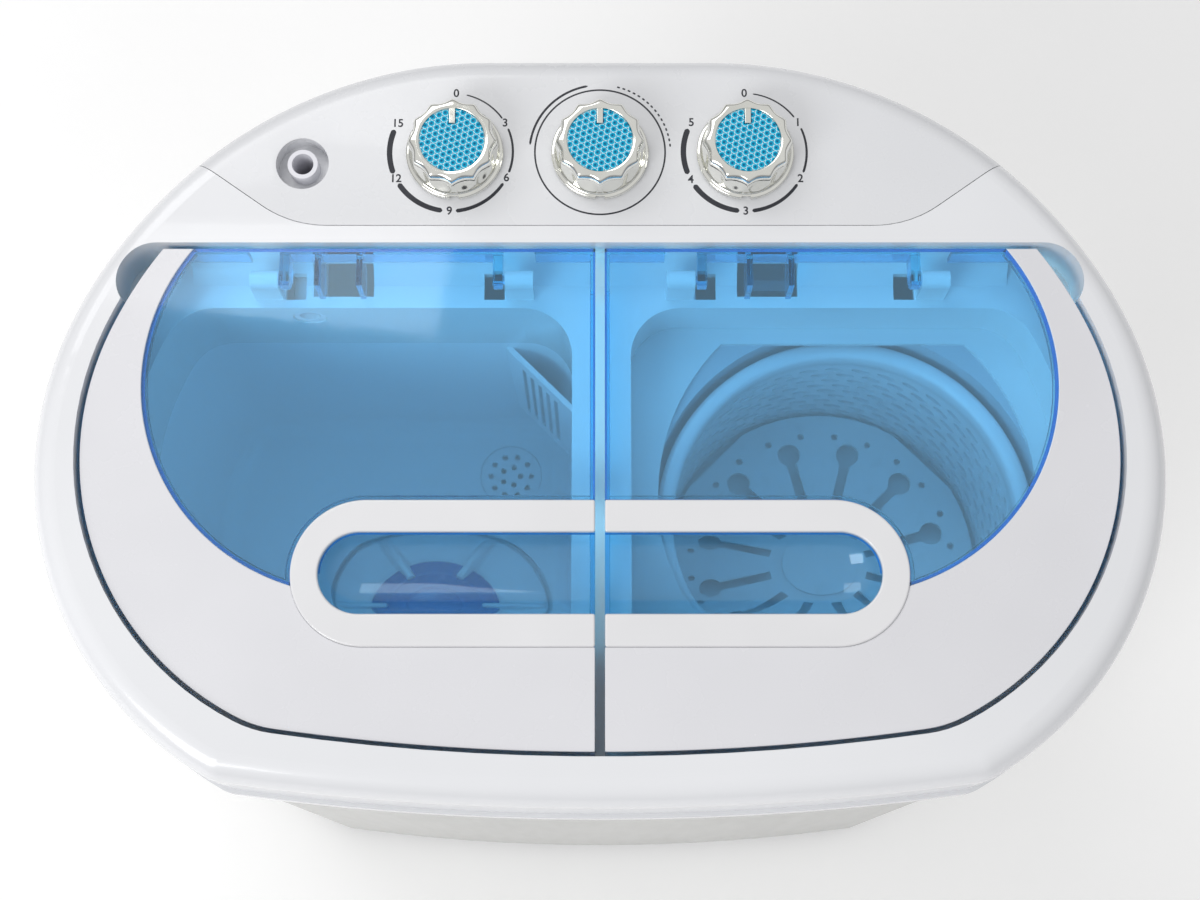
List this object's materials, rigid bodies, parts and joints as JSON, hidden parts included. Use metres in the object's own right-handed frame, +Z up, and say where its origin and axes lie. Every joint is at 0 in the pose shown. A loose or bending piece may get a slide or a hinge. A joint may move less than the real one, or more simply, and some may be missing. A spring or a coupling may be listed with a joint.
{
  "type": "mini twin-tub washing machine",
  "caption": "Compact twin-tub washing machine: oval white deck with blue see-through lids, a wash tub with pulsator, a spin basket and a panel of rotary knobs.",
  "frame": {"origin": "centre of the footprint on the floor", "axes": "+X to the spin side (right when facing the front), +Y to the control panel at the back, +Z up"},
  "size_m": [0.592, 0.4046, 0.5665],
  "materials": {
    "cabinet_white": "satin paint",
    "tray_grey": "matte moulded",
    "black_rubber": "matte",
    "cover_grey": "matte moulded",
    "steel_screw": "bright zinc",
    "deck_white": "gloss moulded",
    "panel_grey": "gloss moulded",
    "timer_white": "matte moulded",
    "knob_chrome": "bright plated",
    "knob_blue": "gloss moulded",
    "steel_shaft": "ground",
    "duct_grey": "matte moulded",
    "window_blue": "clear tinted gloss",
    "lid_white": "gloss moulded",
    "tub_white": "satin moulded",
    "housing_cast": "cast",
    "motor_grey": "satin paint",
    "zinc_steel": "zinc plated",
    "outer_tub_white": "matte moulded",
    "basket_white": "satin moulded",
    "lever_plastic": "matte moulded",
    "spring_steel": "drawn wire",
    "capacitor_shell": "drawn can"
  },
  "bodies": {
    "chassis": {"cabinet_shell": "cabinet_white", "base_tray": "tray_grey", "foot_pads": "black_rubber", "cable_gland": "black_rubber", "drive_belt": "black_rubber", "bellows_seal": "black_rubber", "pulsator_seal": "black_rubber", "spin_motor_mounts": "black_rubber", "drain_hose": "black_rubber", "rear_cover": "cover_grey", "case_screws": "steel_screw", "top_deck": "deck_white", "control_panel": "panel_grey", "timer_bodies": "timer_white", "selector_switch_body": "timer_white", "inlet_duct": "duct_grey", "drain_spigot": "duct_grey", "drain_valve_body": "duct_grey", "wash_tub": "tub_white", "drain_strainer": "tub_white", "overflow_cover": "tub_white", "bearing_housing": "housing_cast", "wash_motor": "motor_grey", "spin_motor": "motor_grey", "motor_bracket": "zinc_steel", "spin_motor_plate": "zinc_steel", "brake_bracket": "zinc_steel", "spin_outer_tub": "outer_tub_white", "valve_spring": "spring_steel", "motor_capacitors": "capacitor_shell"},
    "wash_lid": {"wash_lid_window": "window_blue", "wash_lid_trim": "lid_white", "wash_lid_handle": "lid_white"},
    "spin_lid": {"spin_lid_window": "window_blue", "spin_lid_trim": "lid_white", "spin_lid_handle": "lid_white"},
    "wash_timer": {"wash_timer_knob": "knob_chrome", "wash_timer_cap": "knob_blue", "wash_timer_spindle": "steel_shaft"},
    "selector": {"selector_knob": "knob_chrome", "selector_cap": "knob_blue", "selector_spindle": "steel_shaft"},
    "spin_timer": {"spin_timer_knob": "knob_chrome", "spin_timer_cap": "knob_blue", "spin_timer_spindle": "steel_shaft"},
    "pulsator_unit": {"pulsator": "tub_white", "pulsator_cap": "knob_blue", "pulsator_shaft": "steel_shaft", "drive_pulley": "housing_cast"},
    "wash_motor_rotor": {"wash_motor_shaft": "steel_shaft", "motor_pulley": "housing_cast"},
    "basket_unit": {"spin_basket": "basket_white", "balance_ring": "basket_white", "basket_hub": "housing_cast", "spin_shaft": "steel_shaft", "brake_drum": "housing_cast"},
    "press_plate_unit": {"press_plate": "basket_white"},
    "brake_lever_unit": {"brake_lever": "zinc_steel"},
    "lid_rocker_unit": {"lid_rocker": "lever_plastic"},
    "drain_valve": {"valve_plunger": "lever_plastic"}
  },
  "joints": [
    {"name": "wash_lid_hinge", "type": "hinge", "parent": "chassis", "child": "wash_lid", "pos_m": [-0.1105, 0.07625, 0.529], "axis": [-1, 0, 0], "range_deg": [0, 105]},
    {"name": "spin_lid_hinge", "type": "hinge", "parent": "chassis", "child": "spin_lid", "pos_m": [0.1105, 0.07625, 0.529], "axis": [-1, 0, 0], "range_deg": [0, 105]},
    {"name": "wash_timer_turn", "type": "hinge", "parent": "chassis", "child": "wash_timer", "pos_m": [-0.0774, 0.143, 0.54276], "axis": [0, 0.0698, -0.9976], "range_deg": [0, 300]},
    {"name": "selector_turn", "type": "hinge", "parent": "chassis", "child": "selector", "pos_m": [0, 0.143, 0.54276], "axis": [0, 0.0698, -0.9976], "range_deg": [-90, 90]},
    {"name": "spin_timer_turn", "type": "hinge", "parent": "chassis", "child": "spin_timer", "pos_m": [0.0774, 0.143, 0.54276], "axis": [0, 0.0698, -0.9976], "range_deg": [0, 300]},
    {"name": "pulsator_spin", "type": "hinge", "parent": "chassis", "child": "pulsator_unit", "pos_m": [-0.105, -0.069, 0.284], "axis": [0, 0, 1], "continuous": true},
    {"name": "wash_motor_spin", "type": "hinge", "parent": "chassis", "child": "wash_motor_rotor", "pos_m": [-0.18278, 0.00878, 0.186], "axis": [0, 0, 1], "continuous": true},
    {"name": "basket_spin", "type": "hinge", "parent": "chassis", "child": "basket_unit", "pos_m": [0.135, -0.0415, 0.33], "axis": [0, 0, 1], "continuous": true},
    {"name": "press_plate_lift", "type": "slide", "parent": "basket_unit", "child": "press_plate_unit", "axis": [0, 0, 1], "range_m": [0, 0.12]},
    {"name": "brake_lever_pivot", "type": "hinge", "parent": "chassis", "child": "brake_lever_unit", "pos_m": [0.19, 0.01, 0.223], "axis": [0, 0, -1], "range_deg": [0, 3.6]},
    {"name": "lid_rocker_pivot", "type": "hinge", "parent": "chassis", "child": "lid_rocker_unit", "pos_m": [0.0903, 0.106, 0.498], "axis": [1, 0, 0], "range_deg": [0, 10]},
    {"name": "drain_valve_slide", "type": "slide", "parent": "chassis", "child": "drain_valve", "axis": [0, 0, -1], "range_m": [0, 0.01], "stiffness_N_per_m": 300, "springref_m": -0.008, "deforming": ["valve_spring"]}
  ],
  "couplings": [
    {"joint": "wash_motor_spin", "follows": "pulsator_spin", "ratio": 4.5398},
    {"joint": "brake_lever_pivot", "follows": "spin_lid_hinge", "ratio": 0.034286},
    {"joint": "lid_rocker_pivot", "follows": "spin_lid_hinge", "ratio": 0.095238}
  ]
}
